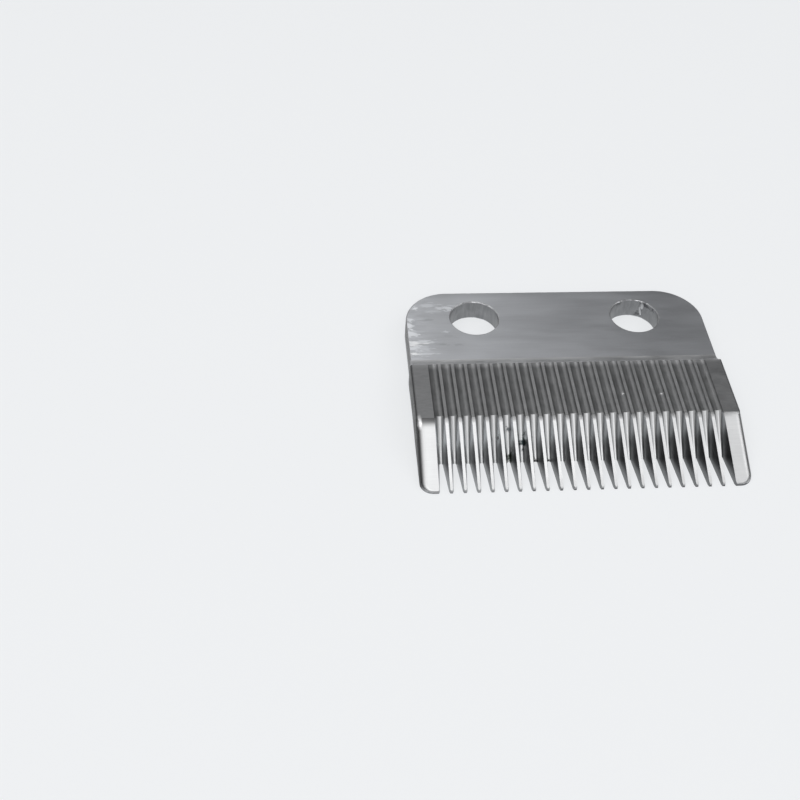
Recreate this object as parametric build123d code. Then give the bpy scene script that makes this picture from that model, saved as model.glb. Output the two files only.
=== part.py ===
from build123d import *
import math
import os

# Fixed comb blade of a hair clipper, one piece of ground steel.
# Millimetres. X runs across the blade, the tooth tips point to -Y, +Z is up.
# The blade lies on its inner face, the one that the cutter slides on, with the outer face up.
# The origin is the middle of the inner face, half way from the tips to the rear edge.
# A setback is a distance back from the tooth tips.

# Side profile
bevel_length = 9.65        # tooth tips to the bend where the land begins
land_length = 11.1         # bend to the step
plate_length = 16.65       # step to the rear edge
plate_thickness = 3.2      # rear plate, which the screws hold
step_height = 0.9          # how far the land stands above the plate
step_radius = 2.5          # concave grind from the plate up to the land
tip_thickness = 0.45       # height of the blunt tips
nose_chamfer = 0.2         # upper front edge of the tips

# Teeth
tooth_pitch = 1.865
tooth_count = 21           # narrow teeth between the two wide end teeth
tooth_top_width = 0.46     # ridge along the bevel
tip_base_width = 0.56      # a tooth on the inner face, at its tip
end_tooth_width = 2.55     # outer face of an end tooth
tip_draw_length = 0.35     # the tips are drawn in over this length
tip_draw = 0.1             # and by this much on each side

# Slots between the teeth, with flat flanks and a round floor that ramps up from the inner face
root_setback = 5.3         # where the floor comes through the inner face
root_width = 0.42          # slot on the inner face, there
root_sag = 0.08            # roundness of the floor, there
bend_setback = 10.7        # where the floor reaches the depth of the groove
bend_sag = 0.25            # roundness of the floor, there
floor_dip = 0.18           # how far the floor sags below a straight ramp

# Shallow round grooves that carry the slots on across the land
groove_depth = 0.32
ridge_width = 0.42         # what is left of the land between two grooves

# Outline
plate_inset = 0.2          # the plate is narrower than the comb by this on each side
shoulder_length = 0.6      # the comb's full width goes on behind the land by this much
shoulder_radius = 0.5
rear_corner_radius = 6.5
front_corner_radius = 1.8  # outer front corner of each end tooth
bevel_edge_radius = 1.0    # outer long edge of each end tooth, along the bevel
land_edge_radius = 0.7     # the same edge along the land
edge_break = 0.15          # plate rim and hole rims

# Screw holes
hole_diameter = 7.3
hole_spacing = 24.5
hole_to_rear = 5.8         # hole centres to the rear edge

# Hollow grind across the inner face, between the front and rear bearing strips
hollow_setback = 9.5       # its front edge
hollow_length = 10.0
hollow_depth = 0.35

# Grinding tools reach this far past the faces that they cut
overrun = 1.0

# Sizes that follow
land_height = plate_thickness + step_height
land_rear = bevel_length + land_length
blade_length = land_rear + plate_length
plate_front = land_rear + math.sqrt(2 * step_radius * step_height - step_height**2)
bevel_slope = (land_height - tip_thickness) / bevel_length
slot_mouth_width = tooth_pitch - tooth_top_width
tip_gap_width = tooth_pitch - tip_base_width
blade_width = tooth_count * tooth_pitch + slot_mouth_width + 2 * end_tooth_width
plate_width = blade_width - 2 * plate_inset
groove_floor = land_height - groove_depth
groove_width = tooth_pitch - ridge_width
top_of_cut = land_height + overrun


def outer_height(setback):
    """Height of the outer face over the teeth."""
    return min(tip_thickness + bevel_slope * setback, land_height)


def round_radius(chord, depth):
    """Radius of the round hollow that is so wide and so deep."""
    return (chord**2 / 4 + depth**2) / (2 * depth)


def make_blank():
    """Side profile of bevel, land, step and plate, drawn out across the blade, with its long edges rounded.

    The blank is deeper than the blade and longer in front, so that the roundings run out past its faces."""
    front = (-overrun, outer_height(-overrun))
    bend = (bevel_length, land_height)
    land_end = (land_rear, land_height)
    plate_start = (plate_front, plate_thickness)
    plate_end = (blade_length, plate_thickness)
    bottom = -land_height
    above = Polyline(front, bend, land_end)
    step = TangentArc(plate_start, land_end, tangent=(-1, 0))
    below = Polyline(plate_start, plate_end, (blade_length, bottom), (-overrun, bottom), front)
    blank = extrude(Plane.YZ * make_face(above + step + below), amount=blade_width / 2, both=True)
    blank = fillet(long_edges(blank, -overrun, bevel_length), bevel_edge_radius)
    return fillet(long_edges(blank, bevel_length, land_rear), land_edge_radius)


def long_edges(blank, low, high):
    """The sharp edges along both sides of the outer face whose middles lie between two setbacks."""
    sides = [edge for edge in blank.edges() if math.isclose(abs(edge.center().X), blade_width / 2)]
    return [edge for edge in sides if low < edge.center().Y < high and edge.center().Z > 0]


def make_outline():
    """Plan outline: the comb with its rounded outer corners, and the plate with its round rear corners."""
    comb_length = land_rear + shoulder_length
    comb = Pos(0, comb_length / 2) * Rectangle(blade_width, comb_length)
    comb = fillet(comb.vertices().group_by(Axis.Y)[-1], shoulder_radius)
    comb = fillet(comb.vertices().group_by(Axis.Y)[0], front_corner_radius)
    plate = Pos(0, land_rear + plate_length / 2) * Rectangle(plate_width, plate_length)
    plate = fillet(plate.vertices().group_by(Axis.Y)[-1], rear_corner_radius)
    return comb + plate


def make_nose_cut():
    """Wedge that breaks the upper front edge of all the tips."""
    low = Vector(0, tip_thickness - nose_chamfer)
    high = Vector(nose_chamfer, outer_height(nose_chamfer))
    reach = (high - low).normalized() * overrun
    ahead = low - reach
    above = high + reach
    wedge = make_face(Polyline(ahead, above, (ahead.X, above.Y), close=True))
    return extrude(Plane.YZ * wedge, amount=blade_width, both=True)


def make_hollow():
    """Wide, shallow cylinder that hollow-grinds the inner face right across."""
    radius = round_radius(hollow_length, hollow_depth)
    middle = hollow_setback + hollow_length / 2
    return Pos(0, middle, hollow_depth - radius) * Rot(0, 90, 0) * Cylinder(radius, blade_width + 2 * overrun)


def make_holes():
    """The two screw holes."""
    drill = Cylinder(hole_diameter / 2, 2 * (plate_thickness + overrun))
    return [Pos(side * hole_spacing / 2, blade_length - hole_to_rear) * drill for side in (-1, 1)]


def break_edges(blade):
    """Small chamfer round the plate's upper rim and on both rims of each hole."""
    levels = blade.faces().filter_by(Plane.XY)
    plate_top = [face for face in levels if math.isclose(face.center().Z, plate_thickness)][0]
    rim = [edge for edge in plate_top.outer_wire().edges() if edge.center().Y > plate_front + edge_break]
    blade = chamfer(rim, edge_break)
    circles = blade.edges().filter_by(GeomType.CIRCLE)
    return chamfer([edge for edge in circles if math.isclose(edge.radius, hole_diameter / 2)], edge_break)


def slot_width(setback, height):
    """Width between the flat flanks of a slot."""
    at_base = tip_gap_width + (root_width - tip_gap_width) * setback / root_setback
    base_under_bend = tip_gap_width + (root_width - tip_gap_width) * bevel_length / root_setback
    lean = (slot_mouth_width - base_under_bend) / land_height
    return at_base + lean * height


def slot_section(setback, floor_height, floor_sag):
    """Section across a slot: a round floor, a flat flank on each side, and a lid above the outer face."""
    draw = 2 * tip_draw * max(0, 1 - setback / tip_draw_length)
    edge_height = floor_height + floor_sag
    floor_half = (slot_width(setback, edge_height) + draw) / 2
    lid_half = (slot_width(setback, top_of_cut) + draw) / 2
    left = (-floor_half, edge_height)
    right = (floor_half, edge_height)
    floor = ThreePointArc(left, (0, floor_height), right)
    flanks = Polyline(right, (lid_half, top_of_cut), (-lid_half, top_of_cut), left)
    across = Plane((0, setback, 0), x_dir=(1, 0, 0), z_dir=(0, -1, 0))
    return across * make_face(floor + flanks)


def make_slot():
    """One slot, open through the inner face in front of its root, with its floor ramping up behind it."""
    ramp_length = bend_setback - root_setback
    ramp_slope = groove_floor / ramp_length
    foot = root_setback - overrun / ramp_slope
    middle = root_setback + ramp_length / 2
    head = bend_setback + groove_depth / ramp_slope
    return loft(
        [
            slot_section(-overrun, -overrun, root_sag),
            slot_section(tip_draw_length, -overrun, root_sag),
            slot_section(foot, -overrun, root_sag),
            slot_section(root_setback, 0, root_sag),
            slot_section(middle, groove_floor / 2 - floor_dip, (root_sag + bend_sag) / 2),
            slot_section(bend_setback, groove_floor, bend_sag),
            slot_section(head, land_height, bend_sag),
        ],
        ruled=True,
    )


def make_groove():
    """One round groove, from where it runs out of the bevel to behind the land."""
    radius = round_radius(groove_width, groove_depth)
    front = bevel_length - groove_depth / bevel_slope - overrun
    length = land_rear + overrun - front
    return Pos(0, front + length / 2, groove_floor + radius) * Rot(90, 0, 0) * Cylinder(radius, length)


def make_blade():
    """The whole blade, moved so that its origin is the middle of the inner face."""
    blade = make_blank() & extrude(make_outline(), amount=top_of_cut)
    blade = blade - make_nose_cut() - make_hollow() - make_holes()
    blade = break_edges(blade)
    places = [(number - tooth_count / 2) * tooth_pitch for number in range(tooth_count + 1)]
    for tool in (make_groove(), make_slot()):
        blade = blade - [Pos(place) * tool for place in places]
    return Pos(0, -blade_length / 2) * blade


os.makedirs("parts", exist_ok=True)
export_step(make_blade(), "parts/fixed_blade.step")
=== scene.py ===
"""Grinds the fixed comb blade of a hair clipper, dresses it in its steel finishes and lights it."""

import logging
import math
from collections.abc import Callable
from dataclasses import dataclass, field
from enum import Enum

import bmesh
import bpy
from mathutils import Matrix, Vector


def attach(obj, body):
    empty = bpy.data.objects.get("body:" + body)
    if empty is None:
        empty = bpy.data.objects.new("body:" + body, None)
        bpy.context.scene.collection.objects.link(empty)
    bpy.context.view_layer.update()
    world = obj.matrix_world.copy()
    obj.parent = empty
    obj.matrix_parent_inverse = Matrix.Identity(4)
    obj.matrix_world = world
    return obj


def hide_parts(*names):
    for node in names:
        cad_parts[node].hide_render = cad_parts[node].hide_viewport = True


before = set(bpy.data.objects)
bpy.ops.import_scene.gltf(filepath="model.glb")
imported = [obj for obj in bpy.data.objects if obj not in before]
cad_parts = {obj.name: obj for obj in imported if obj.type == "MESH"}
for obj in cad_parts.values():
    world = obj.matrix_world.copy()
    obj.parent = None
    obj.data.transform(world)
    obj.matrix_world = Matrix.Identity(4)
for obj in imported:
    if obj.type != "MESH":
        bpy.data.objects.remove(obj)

LOG = logging.getLogger("comb_blade")

Colour = tuple[float, float, float]
Place = tuple[float, float, float]
Spread = tuple[float, float, float]
Span = tuple[float, float]

# Lengths
MM = 0.001  # a millimetre, in metres
TOUCH = 0.001  # places closer than this are the same, in millimetres
CUT_SNAP = 1e-9  # corners closer than this to a cutting plane lie on it, in metres
TOOTH_PITCH = 1.865  # from one tooth to the next, in millimetres

# Noise in the finishes
FINE_NOISE = 4.0  # octaves in scratches and streaks
CLOUDY_NOISE = 3.0  # octaves in patches and ragged edges
NOISE_FALL = 0.6  # strength of each octave against the one before
NOISE_BAND: Span = (0.30, 0.70)  # where nearly all of the noise lies
STREAK_BAND: Span = (0.35, 0.70)  # the same for streaks, with the lowest cut off
PATCH_SHARE = 0.45  # share of the patches in a finish's tone, against its scratches

# Spots
SPOT_GRAIN = 1.5  # waves of a ragged edge in one radius
SPOT_FADE = 3.0  # a spot starts to fade at its radius divided by this

# Direction of the ground finishes
GRAIN_MAP = "grain"  # UV map that the scratches run along
QUARTER_TURN = 0.25  # of a full turn: a reflection is drawn out across the scratches

# Normals that tell one zone of the blade from another
FACES_DOWN = -0.5  # the inner face looks lower than this
UPRIGHT = 0.3  # a wall looks up less than this
FACES_FRONT = -0.7  # the front of the tips looks further forward than this
LEVEL = 0.999  # the flat of the plate looks up more than this
FLANK_LEAN = 0.8  # a flank looks sideways more than this


class Zone(Enum):
    """The faces of the blade that are ground apart from each other, by the finish each one keeps; on the
    narrow teeth, in the grooves and in the slots, lighter or darker copies of a finish paint light and
    shade.
    """

    PLATE = "satin_plate"
    RIM = "broken_rim"
    STEP = "step_grind"
    LAND = "dull_land"
    RIDGE = "land_ridge"
    GROOVE = "land_groove"
    BEVEL = "bright_bevel"
    TOOTH = "tooth_ridge"
    FLANK = "slot_flank"
    FLOOR = "slot_floor"
    TIP = "tip_front"
    SIDE = "sawn_side"
    HOLE = "hole_wall"
    INNER = "lapped_inner_face"

    @property
    def number(self) -> int:
        """Place of the zone's finish among the blade's materials."""
        return list(Zone).index(self)


class Axis(Enum):
    """A direction on the blade."""

    ACROSS = "X"
    ALONG = "Y"
    UP = "Z"


class Fold(Enum):
    """How a change of tone repeats over the blade."""

    ONCE = "once"
    BOTH_SIDES = "both sides"
    EVERY_TOOTH = "every tooth"


@dataclass(frozen=True)
class Shade:
    """A change of tone from place to place: mostly painted light and shade, lighter where light falls and
    darker where it falls less, with rubbed streaks in places.

    Attributes:
        axis: Direction that the tone changes in.
        span: Two places along it, in millimetres.
        tone: What the colour is multiplied by at those two places.
        fold: Whether the places are counted from the middle of the blade, of each side or of each tooth.
        streaks: Streaks per millimetre along X, Y and Z that break the change up, if any.
        skew: How far the places move along the axis for each millimetre across the blade.
    """

    axis: Axis
    span: Span
    tone: Span
    fold: Fold = Fold.ONCE
    streaks: Spread | None = None
    skew: float = 0.0


@dataclass(frozen=True)
class Speck:
    """A ragged spot, such as a crumb of dirt, a bright nick, a rubbed patch, a painted highlight or a
    painted shadow.

    Attributes:
        place: Middle of the spot, in millimetres.
        radius: How far it reaches, in millimetres.
        colour: Colour of the spot.
        cover: Share of the finish that it hides in its middle.
        length: How many times further it reaches across the blade than along it.
        ragged: How far its edge wanders in and out, as a share of its radius.
    """

    place: Place
    radius: float
    colour: Colour
    cover: float = 1.0
    length: float = 1.0
    ragged: float = 0.6


@dataclass(frozen=True)
class SteelFinish:
    """One ground finish of the steel: the tone, the run of its scratches and how sharply it mirrors.

    Attributes:
        dark: Colour in the low streaks.
        light: Colour in the high streaks.
        sheen: Roughness in the smoothest and the roughest patches.
        scratch: Scratches per millimetre along X, Y and Z.
        patch: Cloudy patches per millimetre along X, Y and Z.
        relief: Depth of the scratches, in millimetres.
        strength: Share of that depth that the light sees.
        stretch: How far the scratches draw a reflection out across their run.
        glance: Share of the light that is left at a glancing look, where a clean metal turns white.
        shades: Changes of tone from place to place, mostly painted light and shade.
        specks: Small spots that lie on the finish: dirt, nicks, rubbed patches, painted highlights and
            painted shadows.
    """

    dark: Colour
    light: Colour
    sheen: Span
    scratch: Spread
    patch: Spread
    relief: float
    strength: float
    stretch: float = 0.0
    glance: float = 1.0
    shades: tuple[Shade, ...] = ()
    specks: tuple[Speck, ...] = ()

    def material(self, name: str) -> bpy.types.Material:
        """Builds the finish as a material.

        Args:
            name: Name of the new material.

        Returns:
            The material. Its patterns read Object coordinates, and its reflections follow the grain map.
        """
        board = NodeBoard(name)
        scratches = board.noise(self.scratch, FINE_NOISE)
        patches = board.noise(self.patch, CLOUDY_NOISE)
        blend = board.mix(PATCH_SHARE, scratches, patches)
        colour = board.ramp(blend, *zip(NOISE_BAND, (self.dark, self.light)))
        for shade in self.shades:
            colour = board.shade(colour, shade)
        for speck in self.specks:
            colour = board.speck(colour, speck)
        roughness = board.remap(patches, NOISE_BAND, self.sheen)
        normal = board.bump(scratches, self.strength, self.relief * MM)
        board.steel(colour, roughness, normal, self.stretch, self.glance)
        return board.material


class NodeBoard:
    """Adds and links the shader nodes of one steel material."""

    def __init__(self, name: str) -> None:
        """Starts an empty material.

        Args:
            name: Name of the material.
        """
        self.material = bpy.data.materials.new(name)
        self.material.use_nodes = True
        self.tree = self.material.node_tree
        self.tree.nodes.clear()
        self.place = self.add("ShaderNodeTexCoord").outputs["Object"]

    def add(self, kind: str) -> bpy.types.Node:
        """Adds one node of that kind."""
        return self.tree.nodes.new(kind)

    def link(self, source: bpy.types.NodeSocket, target: bpy.types.NodeSocket) -> None:
        """Runs a link from one socket to another."""
        self.tree.links.new(source, target)

    def math(
        self, operation: str, value: bpy.types.NodeSocket, other: float | bpy.types.NodeSocket = 0.0
    ) -> bpy.types.NodeSocket:
        """Runs one number through a sum.

        Args:
            operation: Name of the sum.
            value: Socket of the number.
            other: Second number of the sum or its socket, where the sum has one.

        Returns:
            The socket that holds the outcome.
        """
        node = self.add("ShaderNodeMath")
        node.operation = operation
        self.link(value, node.inputs[0])
        if isinstance(other, bpy.types.NodeSocket):
            self.link(other, node.inputs[1])
        else:
            node.inputs[1].default_value = other
        return node.outputs["Value"]

    def vector(
        self, operation: str, value: bpy.types.NodeSocket, other: Spread = (0.0, 0.0, 0.0)
    ) -> bpy.types.NodeOutputs:
        """Runs one vector through a sum.

        Args:
            operation: Name of the sum.
            value: Socket of the vector.
            other: Second vector of the sum, where the sum has one.

        Returns:
            The sockets that hold the outcome.
        """
        node = self.add("ShaderNodeVectorMath")
        node.operation = operation
        node.inputs[1].default_value = other
        self.link(value, node.inputs[0])
        return node.outputs

    def along(self, shade: Shade) -> bpy.types.NodeSocket:
        """Place on the blade along the direction that a shade changes in, in metres.

        Args:
            shade: The change of tone.

        Returns:
            The socket that holds the place.
        """
        split = self.add("ShaderNodeSeparateXYZ")
        self.link(self.place, split.inputs["Vector"])
        place = split.outputs[shade.axis.value]
        if shade.fold is Fold.BOTH_SIDES:
            return self.math("ABSOLUTE", place)
        if shade.fold is Fold.EVERY_TOOTH:
            return self.math("PINGPONG", place, TOOTH_PITCH / 2 * MM)
        if shade.skew:
            return self.math("SUBTRACT", place, self.math("MULTIPLY", split.outputs["X"], shade.skew))
        return place

    def shade(self, colour: bpy.types.NodeSocket, shade: Shade) -> bpy.types.NodeSocket:
        """Lightens or darkens a colour from place to place, to paint light and shade.

        Args:
            colour: Socket of the colour.
            shade: The change of tone.

        Returns:
            The socket that holds the new colour.
        """
        start, end = shade.span
        share = self.remap(self.along(shade), (start * MM, end * MM), (0.0, 1.0))
        if shade.streaks is not None:
            streaks = self.remap(self.noise(shade.streaks, FINE_NOISE), STREAK_BAND, (0.0, 1.0))
            share = self.math("MULTIPLY", share, streaks)
        mix = self.add("ShaderNodeMix")
        mix.data_type = "RGBA"
        mix.blend_type = "MULTIPLY"
        mix.inputs["Factor"].default_value = 1.0
        self.link(colour, mix.inputs["A"])
        self.link(self.remap(share, (0.0, 1.0), shade.tone), mix.inputs["B"])
        return mix.outputs["Result"]

    def speck(self, colour: bpy.types.NodeSocket, speck: Speck) -> bpy.types.NodeSocket:
        """Lays a small ragged spot over a colour.

        Args:
            colour: Socket of the colour.
            speck: The spot.

        Returns:
            The socket that holds the new colour.
        """
        offset = self.vector("SUBTRACT", self.place, tuple(part * MM for part in speck.place))
        squeezed = self.vector("MULTIPLY", offset["Vector"], (1.0 / speck.length, 1.0, 1.0))
        gap = self.vector("LENGTH", squeezed["Vector"])["Value"]
        grain = SPOT_GRAIN / speck.radius
        edge = self.noise((grain / speck.length / SPOT_GRAIN, grain, grain), CLOUDY_NOISE)
        ragged = self.remap(edge, NOISE_BAND, (1.0 - speck.ragged, 1.0 + speck.ragged))
        reach = self.math("MULTIPLY", gap, ragged)
        radius = speck.radius * MM
        share = self.remap(reach, (radius / SPOT_FADE, radius), (speck.cover, 0.0))
        mix = self.add("ShaderNodeMix")
        mix.data_type = "RGBA"
        mix.inputs["B"].default_value = (*speck.colour, 1.0)
        self.link(colour, mix.inputs["A"])
        self.link(share, mix.inputs["Factor"])
        return mix.outputs["Result"]

    def noise(self, per_mm: Spread, detail: float) -> bpy.types.NodeSocket:
        """Adds noise that is drawn out along the axes.

        Args:
            per_mm: Features per millimetre along X, Y and Z.
            detail: Octaves of finer noise.

        Returns:
            The socket that holds the noise, from 0 to 1.
        """
        mapping = self.add("ShaderNodeMapping")
        mapping.inputs["Scale"].default_value = [count / MM for count in per_mm]
        self.link(self.place, mapping.inputs["Vector"])
        noise = self.add("ShaderNodeTexNoise")
        noise.inputs["Scale"].default_value = 1.0
        noise.inputs["Detail"].default_value = detail
        noise.inputs["Roughness"].default_value = NOISE_FALL
        self.link(mapping.outputs["Vector"], noise.inputs["Vector"])
        return noise.outputs["Fac"]

    def mix(
        self, share: float, first: bpy.types.NodeSocket, second: bpy.types.NodeSocket
    ) -> bpy.types.NodeSocket:
        """Mixes two numbers.

        Args:
            share: Share of the second number.
            first: Socket of the first number.
            second: Socket of the second number.

        Returns:
            The socket that holds the mixed number.
        """
        mix = self.add("ShaderNodeMix")
        mix.data_type = "FLOAT"
        mix.inputs["Factor"].default_value = share
        self.link(first, mix.inputs["A"])
        self.link(second, mix.inputs["B"])
        return mix.outputs["Result"]

    def ramp(self, value: bpy.types.NodeSocket, *stops: tuple[float, Colour]) -> bpy.types.NodeSocket:
        """Turns a number into a colour.

        Args:
            value: Socket of the number.
            stops: Places along the ramp with their colours.

        Returns:
            The socket that holds the colour.
        """
        ramp = self.add("ShaderNodeValToRGB")
        elements = ramp.color_ramp.elements
        while len(elements) < len(stops):
            elements.new(1.0)
        for element, (place, colour) in zip(elements, stops):
            element.position = place
            element.color = (*colour, 1.0)
        self.link(value, ramp.inputs["Fac"])
        return ramp.outputs["Color"]

    def remap(self, value: bpy.types.NodeSocket, span: Span, onto: Span) -> bpy.types.NodeSocket:
        """Stretches one range of numbers onto another.

        Args:
            value: Socket of the number.
            span: Range that is read.
            onto: Range that it becomes.

        Returns:
            The socket that holds the new number.
        """
        remap = self.add("ShaderNodeMapRange")
        remap.interpolation_type = "SMOOTHSTEP"
        for socket, number in zip(("From Min", "From Max", "To Min", "To Max"), (*span, *onto)):
            remap.inputs[socket].default_value = number
        self.link(value, remap.inputs["Value"])
        return remap.outputs["Result"]

    def bump(self, height: bpy.types.NodeSocket, strength: float, depth: float) -> bpy.types.NodeSocket:
        """Turns a height into a bent normal.

        Args:
            height: Socket of the height, from 0 to 1.
            strength: Share of the bump that shows.
            depth: Depth of the bump, in metres.

        Returns:
            The socket that holds the normal.
        """
        bump = self.add("ShaderNodeBump")
        bump.inputs["Strength"].default_value = strength
        bump.inputs["Distance"].default_value = depth
        self.link(height, bump.inputs["Height"])
        return bump.outputs["Normal"]

    def steel(
        self,
        colour: bpy.types.NodeSocket,
        roughness: bpy.types.NodeSocket,
        normal: bpy.types.NodeSocket,
        stretch: float,
        glance: float,
    ) -> None:
        """Ends the material in a metal shader.

        Args:
            colour: Socket of the metal's colour.
            roughness: Socket of its roughness.
            normal: Socket of its bent normal.
            stretch: How far a reflection is drawn out across the scratches.
            glance: Share of the light that is left at a glancing look.
        """
        shader = self.add("ShaderNodeBsdfPrincipled")
        shader.inputs["Metallic"].default_value = 1.0
        shader.inputs["Specular Tint"].default_value = (glance, glance, glance, 1.0)
        shader.inputs["Anisotropic"].default_value = stretch
        shader.inputs["Anisotropic Rotation"].default_value = QUARTER_TURN
        tangent = self.add("ShaderNodeTangent")
        tangent.direction_type = "UV_MAP"
        tangent.uv_map = GRAIN_MAP
        self.link(tangent.outputs["Tangent"], shader.inputs["Tangent"])
        self.link(colour, shader.inputs["Base Color"])
        self.link(roughness, shader.inputs["Roughness"])
        self.link(normal, shader.inputs["Normal"])
        output = self.add("ShaderNodeOutputMaterial")
        self.link(shader.outputs["BSDF"], output.inputs["Surface"])


SLOT_DIRT: tuple[Speck, ...] = (
    Speck((-8.0, -11.35, 1.72), 0.95, (0.022, 0.035, 0.037)),
    Speck((-9.95, -12.9, 0.7), 0.85, (0.035, 0.045, 0.032)),
    Speck((-9.95, -9.6, 2.6), 0.45, (0.09, 0.095, 0.10)),
    Speck((-11.63, -10.9, 2.37), 0.40, (0.06, 0.06, 0.065)),
    Speck((-6.5, -13.25, 0.1), 0.35, (0.08, 0.08, 0.08)),
    Speck((-4.62, -13.3, 0.05), 0.30, (0.08, 0.08, 0.08)),
)
LAND_NICKS: tuple[Speck, ...] = (
    Speck((6.9, -4.38, 3.85), 0.22, (0.75, 0.75, 0.76)),
    Speck((12.42, -4.52, 3.83), 0.22, (0.75, 0.75, 0.76)),
)
# Painted highlight: a lighter colour on the rounded corner at the left end of the bend, where it catches
# the light.
PAINTED_CORNER_HIGHLIGHT: tuple[Speck, ...] = (
    Speck((-22.38, -9.1, 3.88), 1.6, (0.74, 0.74, 0.75), 0.85, length=0.27, ragged=0.1),
    Speck((-22.42, -9.4, 3.80), 0.6, (0.97, 0.97, 0.98), 1.0, length=0.70, ragged=0.1),
)
# Bright and dark patches on the left end of the plate: partly rubbed wear, partly painted sheen along the
# left edge, where the plate catches the light.
RUBBED_PATCHES_AND_SHEEN: tuple[Speck, ...] = (
    Speck((-22.0, 12.7, 3.2), 0.45, (0.82, 0.84, 0.87), 0.8, length=1.5),
    Speck((-22.2, 11.5, 3.2), 0.75, (0.90, 0.92, 0.95), 0.8, length=1.2),
    Speck((-22.1, 9.6, 3.2), 1.00, (0.88, 0.90, 0.93), 0.8, length=1.4),
    Speck((-21.7, 7.5, 3.2), 0.60, (0.95, 0.96, 0.97), 0.9, length=2.6),
    Speck((-22.0, 6.4, 3.2), 0.70, (0.86, 0.88, 0.91), 0.7, length=1.8),
    Speck((-21.9, 5.25, 3.2), 0.40, (0.95, 0.96, 0.97), 0.9, length=2.2),
    Speck((-20.4, 7.9, 3.2), 0.45, (0.78, 0.80, 0.83), 0.7, length=3.0),
    Speck((-20.2, 5.25, 3.2), 0.35, (0.74, 0.76, 0.79), 0.7, length=4.0),
    Speck((-20.4, 6.4, 3.2), 0.60, (0.74, 0.76, 0.79), 0.5, length=2.5),
    Speck((-16.0, 15.2, 3.2), 0.60, (0.82, 0.84, 0.87), 0.7, length=1.8),
    Speck((-17.3, 15.3, 3.2), 0.35, (0.80, 0.82, 0.85), 0.7, length=2.0),
    Speck((-21.1, 15.3, 3.2), 0.35, (0.90, 0.92, 0.95), 0.8, length=1.3),
    Speck((-16.8, 9.9, 3.2), 0.30, (0.68, 0.70, 0.73), 0.8, length=1.8),
    Speck((-19.0, 15.9, 3.2), 0.60, (0.70, 0.72, 0.75), 0.6, length=2.8),
    Speck((-18.6, 14.5, 3.2), 0.40, (0.68, 0.70, 0.73), 0.5, length=3.5),
    Speck((-19.2, 12.6, 3.2), 0.35, (0.38, 0.39, 0.41), 0.7, length=3.5),
    Speck((-17.5, 7.2, 3.2), 0.32, (0.38, 0.39, 0.41), 0.7, length=3.0),
    Speck((-15.3, 7.1, 3.2), 0.32, (0.40, 0.41, 0.43), 0.6, length=3.0),
    Speck((-20.0, 13.5, 3.2), 0.40, (0.45, 0.46, 0.48), 0.6, length=3.5),
    Speck((-16.6, 8.9, 3.2), 0.45, (0.43, 0.44, 0.46), 0.5, length=3.0),
)
# Painted shadow: dark spots on the wall of the right hole, most of them just below its rim.
HOLE_RIM_SHADE: tuple[Speck, ...] = (
    Speck((14.65, 15.65, 2.75), 0.60, (0.07, 0.07, 0.075), 0.8),
    Speck((13.7, 16.25, 0.75), 0.45, (0.08, 0.08, 0.085), 0.7),
    Speck((15.5, 14.55, 2.8), 0.40, (0.08, 0.08, 0.085), 0.7),
    Speck((10.3, 16.0, 2.8), 0.60, (0.09, 0.09, 0.095), 0.6),
)

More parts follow.
